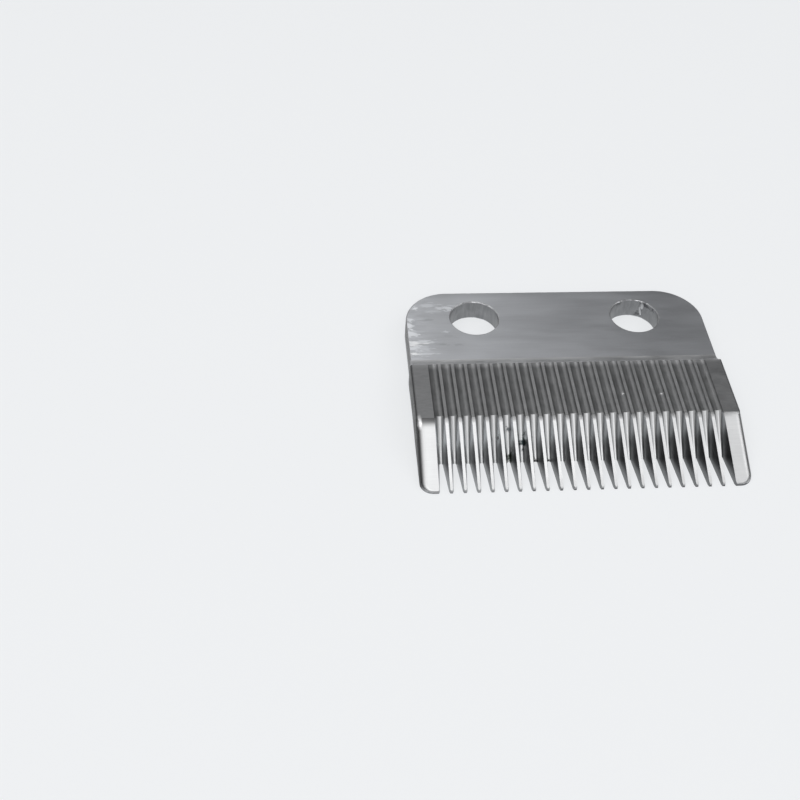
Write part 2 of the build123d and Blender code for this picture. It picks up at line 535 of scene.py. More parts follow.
FINISHES: dict[Zone, SteelFinish] = {
    Zone.PLATE: SteelFinish(
        dark=(0.520, 0.533, 0.557), light=(0.588, 0.603, 0.630), sheen=(0.39, 0.43),
        scratch=(0.20, 7.0, 7.0), patch=(0.10, 0.5, 0.5), relief=0.004, strength=0.5, stretch=0.9,
        # Painted light and shade: darker from the middle towards the left and towards the right end,
        # lighter towards the front, darker along the rear edge; the streaky lightening near the left edge
        # is partly rubbed streaks, partly painted sheen.
        shades=(
            Shade(Axis.ACROSS, (-11.0, -18.0), (1.0, 0.90)),
            Shade(Axis.ACROSS, (-16.0, -22.3), (1.0, 1.15), streaks=(0.30, 1.3, 1.3)),
            Shade(Axis.ACROSS, (4.0, 20.0), (1.0, 0.84)),
            Shade(Axis.ALONG, (4.0, 11.0), (1.02, 0.97)),
            Shade(Axis.ALONG, (16.8, 18.6), (1.0, 0.88)),
        ),
        specks=RUBBED_PATCHES_AND_SHEEN,
    ),
    Zone.RIM: SteelFinish(
        dark=(0.50, 0.505, 0.515), light=(0.60, 0.605, 0.615), sheen=(0.30, 0.40),
        scratch=(0.6, 0.6, 8.0), patch=(0.4, 0.4, 0.4), relief=0.003, strength=0.4,
        # Painted highlight: lighter in broken streaks towards the rear of the plate, on the rear rims of
        # the holes, their burrs and the rear edge.
        shades=(Shade(Axis.ALONG, (13.5, 15.5), (0.9, 1.65), streaks=(0.9, 0.9, 0.9)),),
    ),
    Zone.STEP: SteelFinish(
        dark=(0.58, 0.585, 0.595), light=(0.69, 0.695, 0.705), sheen=(0.40, 0.48),
        scratch=(0.25, 6.0, 6.0), patch=(0.2, 0.6, 0.6), relief=0.004, strength=0.5, stretch=0.6,
        # Painted shade: the step darker towards the right end.
        shades=(Shade(Axis.ACROSS, (0.0, 12.0), (1.0, 0.92)),),
    ),
    Zone.LAND: SteelFinish(
        dark=(0.25, 0.253, 0.258), light=(0.33, 0.333, 0.338), sheen=(0.42, 0.50),
        scratch=(1.2, 4.0, 4.0), patch=(0.3, 0.5, 0.5), relief=0.004, strength=0.5,
        # Painted shade and light: both rounded outer edges darker, where they turn away from the light,
        # and the land lighter towards the step.
        shades=(
            Shade(Axis.ACROSS, (22.3, 22.85), (1.0, 0.35), Fold.BOTH_SIDES),
            Shade(Axis.ALONG, (0.9, 2.3), (1.0, 1.25)),
        ),
        specks=PAINTED_CORNER_HIGHLIGHT,
    ),
    # The land's ground finish on the narrow teeth, lighter than on the end teeth: painted highlight on the
    # narrow ridges. Its shades are painted light and shade too: darker towards the left, lighter towards
    # the step.
    Zone.RIDGE: SteelFinish(
        dark=(0.35, 0.353, 0.358), light=(0.45, 0.453, 0.458), sheen=(0.42, 0.50),
        scratch=(1.2, 4.0, 4.0), patch=(0.3, 0.5, 0.5), relief=0.004, strength=0.5,
        shades=(
            Shade(Axis.ACROSS, (-18.0, 0.0), (0.86, 1.0)),
            Shade(Axis.ALONG, (0.9, 2.3), (1.0, 1.35)),
        ),
    ),
    # The land's grooves, darker than the ridges between them: painted shade in the grooves. Lighter
    # towards the step: painted light.
    Zone.GROOVE: SteelFinish(
        dark=(0.19, 0.193, 0.195), light=(0.29, 0.293, 0.297), sheen=(0.40, 0.48),
        scratch=(6.0, 0.5, 6.0), patch=(0.7, 0.7, 0.7), relief=0.004, strength=0.5,
        shades=(Shade(Axis.ALONG, (0.9, 2.3), (1.0, 1.7)),),
        specks=LAND_NICKS,
    ),
    Zone.BEVEL: SteelFinish(
        dark=(0.57, 0.575, 0.58), light=(0.66, 0.665, 0.67), sheen=(0.34, 0.40),
        scratch=(0.3, 6.0, 6.0), patch=(0.4, 0.4, 0.4), relief=0.003, strength=0.4,
        # Painted shade: both rounded outer edges darker, the left one more, where they turn away from the
        # light, and the bevel darker just below the bend, lower down on the left, where the bend lies
        # askew.
        shades=(
            Shade(Axis.ACROSS, (-21.4, -23.1), (1.0, 0.15)),
            Shade(Axis.ACROSS, (21.9, 22.8), (1.0, 0.4)),
            Shade(Axis.ALONG, (-9.8, -8.1), (1.0, 0.25), skew=0.03),
        ),
        specks=PAINTED_CORNER_HIGHLIGHT,
    ),
    # The bevel's finish on the narrow teeth, lighter than on the end teeth: painted highlight on the
    # narrow ridges. Its shades are painted shade: darker towards the left and towards the tips.
    Zone.TOOTH: SteelFinish(
        dark=(0.70, 0.705, 0.71), light=(0.79, 0.795, 0.80), sheen=(0.30, 0.36),
        scratch=(0.3, 6.0, 6.0), patch=(0.4, 0.4, 0.4), relief=0.003, strength=0.4,
        shades=(
            Shade(Axis.ACROSS, (-18.0, 0.0), (0.86, 1.0)),
            Shade(Axis.ALONG, (-18.7, -16.0), (0.86, 1.0)),
        ),
    ),
    # The slots' side faces, darker than the slot floors cut by the same cutter: painted shade in the
    # slots. Its shades are painted light and shade: light near the bend, dark lower down, lighter towards
    # the tips and the left, darker towards the right.
    Zone.FLANK: SteelFinish(
        dark=(0.280, 0.287, 0.293), light=(0.436, 0.447, 0.453), sheen=(0.34, 0.42),
        scratch=(5.0, 0.5, 6.0), patch=(0.5, 0.5, 0.5), relief=0.004, strength=0.5,
        shades=(
            Shade(Axis.ALONG, (-12.65, -10.05), (0.70, 1.90), skew=0.03),
            Shade(Axis.ALONG, (-17.0, -14.5), (1.12, 1.0)),
            Shade(Axis.ACROSS, (-18.0, 5.0), (1.25, 0.90)),
            Shade(Axis.ACROSS, (5.0, 18.0), (1.0, 0.88)),
        ),
        specks=SLOT_DIRT,
    ),
    Zone.FLOOR: SteelFinish(
        dark=(0.45, 0.455, 0.46), light=(0.55, 0.555, 0.56), sheen=(0.30, 0.38),
        scratch=(6.0, 0.5, 0.5), patch=(0.5, 0.5, 0.5), relief=0.003, strength=0.4,
        # Painted light and shade: each slot floor lit in a stripe down its middle and darker towards the
        # teeth on either side, darker towards the left of the blade and lighter towards the root.
        shades=(
            Shade(Axis.ACROSS, (0.62, 0.80), (0.42, 1.0), Fold.EVERY_TOOTH),
            Shade(Axis.ACROSS, (-18.0, 0.0), (0.80, 1.0)),
            Shade(Axis.ALONG, (-13.0, -10.6), (1.30, 1.0)),
        ),
        specks=SLOT_DIRT,
    ),
    Zone.TIP: SteelFinish(
        dark=(0.10, 0.102, 0.105), light=(0.25, 0.252, 0.256), sheen=(0.45, 0.55),
        scratch=(4.0, 4.0, 4.0), patch=(1.0, 1.0, 1.0), relief=0.004, strength=0.5,
        # Painted light: the tip fronts lighter towards the left.
        shades=(Shade(Axis.ACROSS, (-18.0, -3.0), (2.0, 1.0)),),
    ),
    Zone.SIDE: SteelFinish(
        dark=(0.46, 0.465, 0.47), light=(0.56, 0.565, 0.57), sheen=(0.24, 0.34),
        scratch=(0.5, 0.5, 6.0), patch=(0.6, 0.6, 0.6), relief=0.004, strength=0.5, glance=0.5,
        # Painted light and shade: the walls of the end teeth darker, every wall lighter at its foot, where
        # it mirrors the floor, and darker towards its top, and the comb's left wall darker still.
        shades=(
            Shade(Axis.ALONG, (-10.2, -7.2), (0.45, 1.0)),
            Shade(Axis.UP, (0.2, 2.0), (1.3, 0.62)),
            Shade(Axis.ACROSS, (-22.83, -22.4), (0.38, 1.0)),
        ),
    ),
    Zone.HOLE: SteelFinish(
        dark=(0.190, 0.194, 0.200), light=(0.332, 0.336, 0.343), sheen=(0.32, 0.42),
        scratch=(2.2, 2.2, 0.4), patch=(0.5, 0.5, 0.5), relief=0.006, strength=0.6,
        specks=HOLE_RIM_SHADE,
    ),
    Zone.INNER: SteelFinish(
        dark=(0.42, 0.425, 0.435), light=(0.56, 0.565, 0.575), sheen=(0.32, 0.40),
        scratch=(0.25, 7.0, 7.0), patch=(0.08, 0.9, 0.9), relief=0.003, strength=0.4, stretch=0.6,
    ),
}


@dataclass
class Workpiece:
    """A mesh on the bench, shaped with Blender's own operators. Places are in millimetres."""

    piece: bpy.types.Object

    @classmethod
    def block(cls, name: str, low: Vector, high: Vector) -> "Workpiece":
        """Starts from a plain block.

        Args:
            name: Name of the piece.
            low: Lowest corner.
            high: Highest corner.

        Returns:
            The block on the bench.
        """
        bpy.ops.object.select_all(action="DESELECT")
        bpy.ops.mesh.primitive_cube_add(size=1.0)
        return cls.named(name, Matrix.LocRotScale((low + high) / 2 * MM, None, (high - low) * MM))

    @classmethod
    def bar(cls, name: str, radius: float, length: float, sides: int, place: Matrix) -> "Workpiece":
        """Starts from a round bar.

        Args:
            name: Name of the piece.
            radius: Radius of the bar.
            length: Length of the bar.
            sides: Number of flats round it.
            place: Turn and place of the bar, in metres.

        Returns:
            The bar on the bench.
        """
        bpy.ops.object.select_all(action="DESELECT")
        bpy.ops.mesh.primitive_cylinder_add(vertices=sides, radius=radius * MM, depth=length * MM)
        return cls.named(name, place)

    @classmethod
    def named(cls, name: str, place: Matrix) -> "Workpiece":
        """Names the new primitive, moves it into place and keeps the place in its mesh.

        Args:
            name: Name of the piece.
            place: Turn, size and place of the piece, in metres.

        Returns:
            The piece on the bench.
        """
        piece = bpy.context.object
        piece.name = name
        piece.data.transform(place)
        return cls(piece)

    def edit(self) -> None:
        """Opens the mesh for shaping, with everything selected."""
        bpy.ops.object.select_all(action="DESELECT")
        self.piece.select_set(True)
        bpy.context.view_layer.objects.active = self.piece
        bpy.ops.object.mode_set(mode="EDIT")
        bpy.ops.mesh.select_all(action="SELECT")

    def close(self) -> None:
        """Ends the shaping."""
        bpy.ops.object.mode_set(mode="OBJECT")

    def slice(self, place: Vector, normal: Vector, clear: bool = False) -> None:
        """Cuts the whole mesh along a plane.

        Args:
            place: Point on the plane.
            normal: Direction that the plane faces.
            clear: Whether what lies beyond the plane is taken off.
        """
        bpy.ops.mesh.select_all(action="SELECT")
        bpy.ops.mesh.bisect(
            plane_co=place * MM, plane_no=normal, use_fill=clear, clear_outer=clear, threshold=CUT_SNAP
        )

    def pick_vertices(self, test: Callable[[Vector], bool]) -> None:
        """Selects some of the corners.

        Args:
            test: Tells from the place of a corner whether it is selected.
        """
        bpy.ops.mesh.select_mode(type="VERT")
        bpy.ops.mesh.select_all(action="DESELECT")
        mesh = bmesh.from_edit_mesh(self.piece.data)
        for vertex in mesh.verts:
            vertex.select_set(test(vertex.co / MM))
        mesh.select_flush_mode()
        bmesh.update_edit_mesh(self.piece.data)

    def pick_edges(self, test: Callable[[Vector, Vector], bool]) -> None:
        """Selects some of the edges.

        Args:
            test: Tells from the two ends of an edge whether it is selected.
        """
        bpy.ops.mesh.select_mode(type="EDGE")
        bpy.ops.mesh.select_all(action="DESELECT")
        mesh = bmesh.from_edit_mesh(self.piece.data)
        for edge in mesh.edges:
            edge.select_set(test(*(vertex.co / MM for vertex in edge.verts)))
        bmesh.update_edit_mesh(self.piece.data)

    def shift(self, way: Vector) -> None:
        """Moves what is selected."""
        bpy.ops.transform.translate(value=way * MM)

    def round(self, radius: float, segments: int) -> None:
        """Rounds the selected edges."""
        bpy.ops.mesh.bevel(offset=radius * MM, segments=segments, clamp_overlap=False)

    def repeat(self, count: int, pitch: float) -> None:
        """Lays a row of copies along X, centred on the first.

        Args:
            count: Number of copies in all.
            pitch: Distance from one to the next.
        """
        self.piece.data.transform(Matrix.Translation((-(count - 1) / 2 * pitch * MM, 0.0, 0.0)))
        array = self.piece.modifiers.new("row", "ARRAY")
        array.count = count
        array.use_relative_offset = False
        array.use_constant_offset = True
        array.constant_offset_displace = (pitch * MM, 0.0, 0.0)
        self.apply(array)

    def cut_away(self, tool: "Workpiece") -> None:
        """Cuts a tool's shape out of the piece."""
        self.combine(tool, "DIFFERENCE")

    def fuse(self, lump: "Workpiece") -> None:
        """Makes a lump one with the piece."""
        self.combine(lump, "UNION")

    def combine(self, tool: "Workpiece", operation: str) -> None:
        """Cuts or fuses a tool's shape; its faces keep the tool's material numbers.

        Args:
            tool: The other piece, which is used up.
            operation: Name of the way that the two are combined.
        """
        boolean = self.piece.modifiers.new("combine", "BOOLEAN")
        boolean.operation = operation
        boolean.solver = "EXACT"
        boolean.material_mode = "INDEX"
        boolean.object = tool.piece
        self.apply(boolean)
        bpy.data.objects.remove(tool.piece)

    def apply(self, modifier: bpy.types.Modifier) -> None:
        """Applies a modifier to the mesh."""
        bpy.context.view_layer.objects.active = self.piece
        bpy.ops.object.modifier_apply(modifier=modifier.name)

    def paint(self, choose: Callable[[Vector, Vector], Zone]) -> None:
        """Gives every face the material number of its zone.

        Args:
            choose: Tells the zone from the middle of a face, in millimetres, and its normal.
        """
        for face in self.piece.data.polygons:
            face.material_index = choose(face.center / MM, face.normal).number

    def repaint(self, choose: Callable[[Zone, Vector], Zone]) -> None:
        """Gives every face a new zone that depends on its old one.

        Args:
            choose: Tells the new zone from the old one and the middle of the face, in millimetres.
        """
        for face in self.piece.data.polygons:
            face.material_index = choose(list(Zone)[face.material_index], face.center / MM).number


@dataclass(frozen=True)
class Burr:
    """A crumb of torn steel that the punch left at a screw hole.

    Attributes:
        side: Hole that it sits on: -1 for the left one, 1 for the right one.
        bearing: Angle round the hole from +X, in degrees.
        height: Height of its middle above the inner face, in millimetres.
        size: Length round the hole, thickness and height, in millimetres.
        lean: How far it leans over round the hole, in degrees.
    """

    side: int
    bearing: float
    height: float
    size: tuple[float, float, float]
    lean: float = 0.0


@dataclass
class CombBlade:
    """The comb blade, ground from one block as the real one is.

    Sizes are in millimetres. A setback is a distance back from the tooth tips.
    """

    node: str = "fixed_blade"

    # Side profile
    bevel_length: float = 9.65  # tooth tips to the bend where the land begins
    land_length: float = 11.1  # bend to the step
    plate_length: float = 16.65  # step to the rear edge
    plate_thickness: float = 3.2
    step_height: float = 0.9  # how far the land stands above the plate
    step_radius: float = 2.5
    tip_thickness: float = 0.45
    nose_rounding: float = 0.2  # upper front edge of the tips
    bend_rounding: float = 0.5  # edge between the bevel and the land

    # Teeth and the slots between them
    tooth_pitch: float = TOOTH_PITCH
    slot_count: int = 22
    tooth_top_width: float = 0.46  # ridge along the bevel
    tip_base_width: float = 0.56  # a tooth on the inner face, at its tip
    end_tooth_width: float = 2.55
    tip_draw_length: float = 0.35  # the tips are drawn in over this length
    tip_draw: float = 0.1  # and by this much on each side
    root_setback: float = 5.3  # where a slot's floor comes through the inner face
    root_width: float = 0.42
    root_sag: float = 0.08  # roundness of the floor, there
    bend_setback: float = 10.7  # where the floor reaches the depth of the groove
    bend_sag: float = 0.25  # roundness of the floor, there
    floor_dip: float = 0.18  # how far the floor sags below a straight ramp
    groove_depth: float = 0.32
    ridge_width: float = 0.42  # what is left of the land between two grooves

    # Outline and edges
    plate_inset: float = 0.2  # the plate is narrower than the comb by this on each side
    shoulder_length: float = 0.6  # the comb's full width goes on behind the land by this much
    shoulder_radius: float = 0.5
    rear_corner_radius: float = 6.5
    front_corner_radius: float = 1.8  # outer front corner of each end tooth
    bevel_edge_radius: float = 1.0  # outer long edge of each end tooth, along the bevel
    land_edge_radius: float = 0.7  # the same edge along the land
    edge_break: float = 0.15  # plate rim and hole rims

    # Screw holes and hollow grind
    hole_diameter: float = 7.3
    hole_spacing: float = 24.5
    hole_to_rear: float = 5.8
    hollow_setback: float = 9.5
    hollow_length: float = 10.0
    hollow_depth: float = 0.35
    burrs: tuple[Burr, ...] = (
        Burr(1, 57.0, 2.5, (0.62, 0.30, 1.5), 6.0),
        Burr(1, 59.5, 1.5, (0.42, 0.26, 1.9), 14.0),
        Burr(1, 60.0, 3.18, (0.50, 0.34, 0.24)),
        Burr(1, 73.0, 3.18, (0.70, 0.26, 0.20)),
        Burr(1, 87.0, 3.18, (0.30, 0.26, 0.18)),
        Burr(1, 117.0, 3.16, (0.50, 0.22, 0.16)),
        Burr(-1, 62.0, 3.16, (1.30, 0.22, 0.16)),
        Burr(-1, 84.0, 3.16, (0.90, 0.20, 0.14)),
    )

    # Grinding
    overrun: float = 1.0  # how far a tool reaches past the faces that it cuts
    lid_gap: float = 0.2  # how far the slot and groove tools reach above the outer face
    step_facets: int = 8
    shoulder_facets: int = 5
    rear_corner_facets: int = 24
    front_corner_facets: int = 8
    edge_facets: int = 5
    rim_facets: int = 2
    bar_facets: int = 96  # round the drills and the groove bars
    wheel_facets: int = 720  # round the hollow's wheel
    ramp_stations: int = 10  # sections along the ramp of a slot's floor
    floor_facets: int = 10  # across the round of a slot's floor
    crumb_rounds: int = 3  # times that a burr's faces are split
    merge_gap: float = 0.001  # corners closer than this become one
    smooth_angle: float = 24.0  # edges that turn less than this are smooth, in degrees
    work: Workpiece = field(init=False)

    @property
    def land_height(self) -> float:
        """Height of the land above the inner face."""
        return self.plate_thickness + self.step_height

    @property
    def land_rear(self) -> float:
        """Setback of the land's rear edge."""
        return self.bevel_length + self.land_length

    @property
    def blade_length(self) -> float:
        """Length from the tooth tips to the rear edge."""
        return self.land_rear + self.plate_length

    @property
    def step_turn(self) -> float:
        """Angle that the round of the step turns through."""
        return math.acos(1 - self.step_height / self.step_radius)

    @property
    def plate_front(self) -> float:
        """Setback where the step has run out into the plate."""
        return self.land_rear + self.step_radius * math.sin(self.step_turn)

    @property
    def front(self) -> float:
        """Place of the tooth tips along Y."""
        return -self.blade_length / 2

    @property
    def bevel_slope(self) -> float:
        """Rise of the bevel for each millimetre back from the tips."""
        return (self.land_height - self.tip_thickness) / self.bevel_length

    @property
    def slot_mouth_width(self) -> float:
        """Width of a slot at the outer face."""
        return self.tooth_pitch - self.tooth_top_width

    @property
    def half_width(self) -> float:
        """Half of the width over the end teeth."""
        row = (self.slot_count - 1) * self.tooth_pitch + self.slot_mouth_width
        return row / 2 + self.end_tooth_width

    def build(self) -> bpy.types.Object:
        """Grinds the blade from a block and dresses it.

        Returns:
            The finished blade, which stands for its solid.
        """
        self.make_blank()
        self.break_edges()
        self.work.paint(self.zone_of)
        self.drill_holes()
        for burr in self.burrs:
            self.work.fuse(self.make_burr(burr))
        for tool in (self.make_hollow(), self.make_grooves(), self.make_slots()):
            self.work.cut_away(tool)
        self.work.repaint(self.row_zone_of)
        self.finish_mesh()
        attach(self.work.piece, "root")
        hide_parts(self.node)
        return self.work.piece

    def at(self, x: float, setback: float, z: float) -> Vector:
        """Place of a point given by its setback."""
        return Vector((x, self.front + setback, z))

    def outer_height(self, setback: float) -> float:
        """Height of the outer face over the teeth and the land."""
        return min(self.tip_thickness + self.bevel_slope * setback, self.land_height)

    def make_blank(self) -> None:
        """Cuts the block to its side profile and its outline."""
        low = self.at(-self.half_width, 0.0, 0.0)
        high = self.at(self.half_width, self.blade_length, self.land_height)
        self.work = Workpiece.block("comb_blade", low, high)
        for zone in Zone:
            self.work.piece.data.materials.append(FINISHES[zone].material(zone.value))
        self.work.edit()
        lean = math.atan(self.bevel_slope)
        bevel = Vector((0.0, -math.sin(lean), math.cos(lean)))
        self.work.slice(self.at(0.0, self.bevel_length, self.land_height), bevel, clear=True)
        self.lower_plate()
        self.narrow_plate()
        self.round_corners()
        self.work.close()

    def cut_line(self, setback: float) -> None:
        """Cuts a line right across the blade."""
        self.work.slice(self.at(0.0, setback, 0.0), Vector((0.0, 1.0, 0.0)))

    def pick_line(self, setback: float, behind: bool, test: Callable[[Vector], bool]) -> None:
        """Selects corners on a line across the blade.

        Args:
            setback: Setback of the line.
            behind: Whether the corners behind the line are selected too.
            test: Tells from the place of a corner whether it is one that is wanted.
        """
        y = self.at(0.0, setback, 0.0).y
        self.work.pick_vertices(
            lambda place: test(place) and (abs(place.y - y) < TOUCH or behind and place.y > y)
        )

    def lower_plate(self) -> None:
        """Grinds the plate down behind the land, with a round run-out."""
        radius = self.step_radius
        turns = [self.step_turn * number / self.step_facets for number in range(self.step_facets + 1)]
        setbacks = [self.plate_front - radius * math.sin(turn) for turn in turns]
        for setback in setbacks:
            self.cut_line(setback)
        for turn, setback in list(zip(turns, setbacks))[:-1]:
            drop = radius * (1 - math.cos(turn)) - self.step_height
            self.pick_line(setback, turn == 0, lambda place: place.z > self.land_height - TOUCH)
            self.work.shift(Vector((0.0, 0.0, drop)))

    def narrow_plate(self) -> None:
        """Draws the plate in behind a rounded shoulder on each side."""
        radius = self.shoulder_radius
        start = self.land_rear + self.shoulder_length - radius
        end_turn = math.acos(1 - self.plate_inset / radius)
        count = self.shoulder_facets
        turns = [end_turn * (number + 1) / count for number in range(count)]
        lines = [(start + radius * math.sin(turn), radius * (1 - math.cos(turn))) for turn in turns]
        for setback in (start, *(line[0] for line in lines)):
            self.cut_line(setback)
        for side in (-1, 1):
            for setback, inset in lines:
                last = setback == lines[-1][0]
                self.pick_line(setback, last, lambda place: place.x * side > self.half_width - TOUCH)
                self.work.shift(Vector((-side * inset, 0.0, 0.0)))

    def round_corners(self) -> None:
        """Rounds the upright corners at the rear of the plate and at the front of the end teeth."""
        rear = -self.front
        for y, radius, facets in (
            (rear, self.rear_corner_radius, self.rear_corner_facets),
            (self.front, self.front_corner_radius, self.front_corner_facets),
        ):
            self.work.pick_edges(
                lambda a, b: abs(a.y - y) < TOUCH and (a - b).xy.length < TOUCH and abs(a.z - b.z) > TOUCH
            )
            self.work.round(radius, facets)

    def break_edges(self) -> None:
        """Rounds the edges of the outer face, each by its own radius, in one pass."""
        mesh = self.work.piece.data
        weights = mesh.attributes.new("bevel_weight_edge", "FLOAT", "EDGE")
        for edge in mesh.edges:
            ends = [mesh.vertices[number].co / MM for number in edge.vertices]
            weights.data[edge.index].value = self.edge_radius(*ends) / self.bevel_edge_radius
        bevel = self.work.piece.modifiers.new("edges", "BEVEL")
        bevel.limit_method = "WEIGHT"
        bevel.width = self.bevel_edge_radius * MM
        bevel.segments = self.edge_facets
        bevel.use_clamp_overlap = False
        self.work.apply(bevel)

    def edge_radius(self, a: Vector, b: Vector) -> float:
        """Radius that an edge of the blank is rounded by.

        Args:
            a: One end of the edge.
            b: The other end.

        Returns:
            The radius, or 0 for an edge that stays as it is.
        """
        middle = (a + b) / 2
        setback = middle.y - self.front
        across = abs(a.y - b.y) < TOUCH
        if a.z < TOUCH or b.z < TOUCH or (a - b).xy.length < TOUCH:
            return 0.0
        if across and abs(setback - self.bevel_length) < TOUCH:
            return self.bend_rounding
        if across and setback < TOUCH:
            return self.nose_rounding
        if across and setback < self.blade_length - TOUCH:
            return 0.0
        if setback < self.front_corner_radius:
            share = setback / self.front_corner_radius
            return self.nose_rounding + share * (self.bevel_edge_radius - self.nose_rounding)
        if setback < self.bevel_length:
            return self.bevel_edge_radius
        if setback < self.land_rear:
            return self.land_edge_radius
        return self.edge_break

    def zone_of(self, centre: Vector, normal: Vector) -> Zone:
        """Tells which ground zone a face of the blank belongs to.

        Args:
            centre: Middle of the face.
            normal: Direction that the face looks in.

        Returns:
            The zone of the face.
        """
        setback = centre.y - self.front
        if normal.z < FACES_DOWN:
            return Zone.INNER
        if normal.z < UPRIGHT:
            return Zone.TIP if normal.y < FACES_FRONT else Zone.SIDE
        if setback > self.plate_front - TOUCH:
            return Zone.PLATE if normal.z > LEVEL else Zone.RIM
        if setback > self.land_rear:
            return Zone.STEP
        if setback > self.bevel_length + self.bend_rounding:
            return Zone.LAND
        return Zone.BEVEL

    def row_zone_of(self, zone: Zone, centre: Vector) -> Zone:
        """Tells the finish of a face apart once the slots are cut: the narrow teeth get lighter copies of
        the land and the bevel, painted highlight.

        Args:
            zone: The zone that the face came from.
            centre: Middle of the face.

        Returns:
            The narrow teeth's own zone, or the same zone over the end teeth.
        """
        if abs(centre.x) > self.half_width - self.end_tooth_width:
            return zone
        return {Zone.LAND: Zone.RIDGE, Zone.BEVEL: Zone.TOOTH}.get(zone, zone)

    def hole_centre(self, side: int) -> Vector:
        """Middle of a screw hole on the inner face."""
        return self.at(side * self.hole_spacing / 2, self.blade_length - self.hole_to_rear, 0.0)

    def make_burr(self, burr: Burr) -> Workpiece:
        """Shapes one crumb of torn steel at the wall of a screw hole.

        Args:
            burr: Its place and size.

        Returns:
            The crumb, half sunk in the wall.
        """
        bearing = math.radians(burr.bearing)
        reach = Vector((math.cos(bearing), math.sin(bearing), 0.0)) * self.hole_diameter / 2
        centre = self.hole_centre(burr.side) + reach + Vector((0.0, 0.0, burr.height))
        lean = Matrix.Rotation(math.radians(burr.lean), 4, "Y")
        turn = Matrix.Rotation(bearing + math.pi / 2, 4, "Z") @ lean
        size = Matrix.Diagonal((*burr.size, 1.0)) @ Matrix.Scale(MM, 4)
        bpy.ops.object.select_all(action="DESELECT")
        bpy.ops.mesh.primitive_ico_sphere_add(subdivisions=self.crumb_rounds, radius=0.5)
        crumb = Workpiece.named("burr", Matrix.Translation(centre * MM) @ turn @ size)
        crumb.paint(lambda *_: Zone.RIM)
        return crumb

    def drill_holes(self) -> None:
        """Drills the two screw holes and breaks their rims."""
        depth = 2 * (self.land_height + self.overrun)
        radius = self.hole_diameter / 2
        for side in (-1, 1):
            centre = self.hole_centre(side)
            drill = Workpiece.bar("drill", radius, depth, self.bar_facets, Matrix.Translation(centre * MM))
            drill.paint(lambda *_: Zone.HOLE)
            self.work.cut_away(drill)
            self.work.edit()
            self.work.pick_edges(
                lambda a, b: abs(a.z - b.z) < TOUCH
                and all(abs((end - centre).xy.length - radius) < TOUCH for end in (a, b))
            )
            bpy.ops.mesh.bevel(
                offset=self.edge_break * MM, segments=self.rim_facets, material=Zone.RIM.number
            )
            self.work.close()

    def round_radius(self, chord: float, depth: float) -> float:
        """Radius of the round hollow that is so wide and so deep."""
        return (chord**2 / 4 + depth**2) / (2 * depth)

    def make_hollow(self) -> Workpiece:
        """Shapes the wide grinding wheel for the hollow of the inner face.

        Returns:
            The wheel.
        """
        radius = self.round_radius(self.hollow_length, self.hollow_depth)
        centre = self.at(0.0, self.hollow_setback + self.hollow_length / 2, self.hollow_depth - radius)
        place = Matrix.Translation(centre * MM) @ Matrix.Rotation(math.pi / 2, 4, "Y")
        length = 2 * (self.half_width + self.overrun)
        wheel = Workpiece.bar("hollow_wheel", radius, length, self.wheel_facets, place)
        wheel.paint(lambda *_: Zone.INNER)
        return wheel

    def make_grooves(self) -> Workpiece:
        """Shapes the row of round grinding bars for the grooves of the land.

        Returns:
            The row of bars.
        """
        radius = self.round_radius(self.tooth_pitch - self.ridge_width, self.groove_depth)
        start = self.bevel_length - self.groove_depth / self.bevel_slope - self.overrun
        end = self.land_rear + self.overrun
        centre = self.at(0.0, (start + end) / 2, self.land_height - self.groove_depth + radius)
        place = Matrix.Translation(centre * MM) @ Matrix.Rotation(math.pi / 2, 4, "X")
        bar = Workpiece.bar("groove_bars", radius, end - start, self.bar_facets, place)
        bar.edit()
        lid = Vector((0.0, 0.0, self.land_height + self.lid_gap))
        bar.slice(lid, Vector((0.0, 0.0, 1.0)), clear=True)
        bar.close()
        bar.paint(lambda *_: Zone.GROOVE)
        bar.repeat(self.slot_count, self.tooth_pitch)
        return bar

    def slot_width(self, setback: float, height: float) -> float:
        """Width between the flat flanks of a slot.

        Args:
            setback: How far behind the tips.
            height: How far above the inner face.

        Returns:
            The width.
        """
        tip_gap = self.tooth_pitch - self.tip_base_width
        taper = (self.root_width - tip_gap) / self.root_setback
        lean = (self.slot_mouth_width - tip_gap - taper * self.bevel_length) / self.land_height
        draw = 2 * self.tip_draw * max(0.0, 1 - setback / self.tip_draw_length)
        return tip_gap + taper * setback + lean * height + draw

    def slot_floor(self, share: float) -> tuple[float, float, float]:
        """Floor of a slot at a share of the way up its ramp.

        Args:
            share: 0 at the root, 1 where the floor reaches the groove.

        Returns:
            Setback, height and roundness of the floor there.
        """
        setback = self.root_setback + share * (self.bend_setback - self.root_setback)
        dip = 4 * self.floor_dip * share * (1 - share) if 0 < share < 1 else 0.0
        height = share * (self.land_height - self.groove_depth) - dip
        sag = self.root_sag + min(max(share, 0.0), 1.0) * (self.bend_sag - self.root_sag)
        return setback, height, sag

    def slot_lines(self) -> list[tuple[float, float, float]]:
        """Lays out the floor of a slot's cutter from in front of the tips to above the land.

        Returns:
            Setback, height and roundness of the floor at each section.
        """
        rise = self.land_height - self.groove_depth
        stations = self.ramp_stations
        return [
            (-self.lid_gap / 2, -self.overrun, self.root_sag),
            (self.tip_draw_length, -self.overrun, self.root_sag),
            self.slot_floor(-self.overrun / rise),
            *(self.slot_floor(number / stations) for number in range(stations + 1)),
            self.slot_floor(1 + 2 * self.groove_depth / rise),
        ]

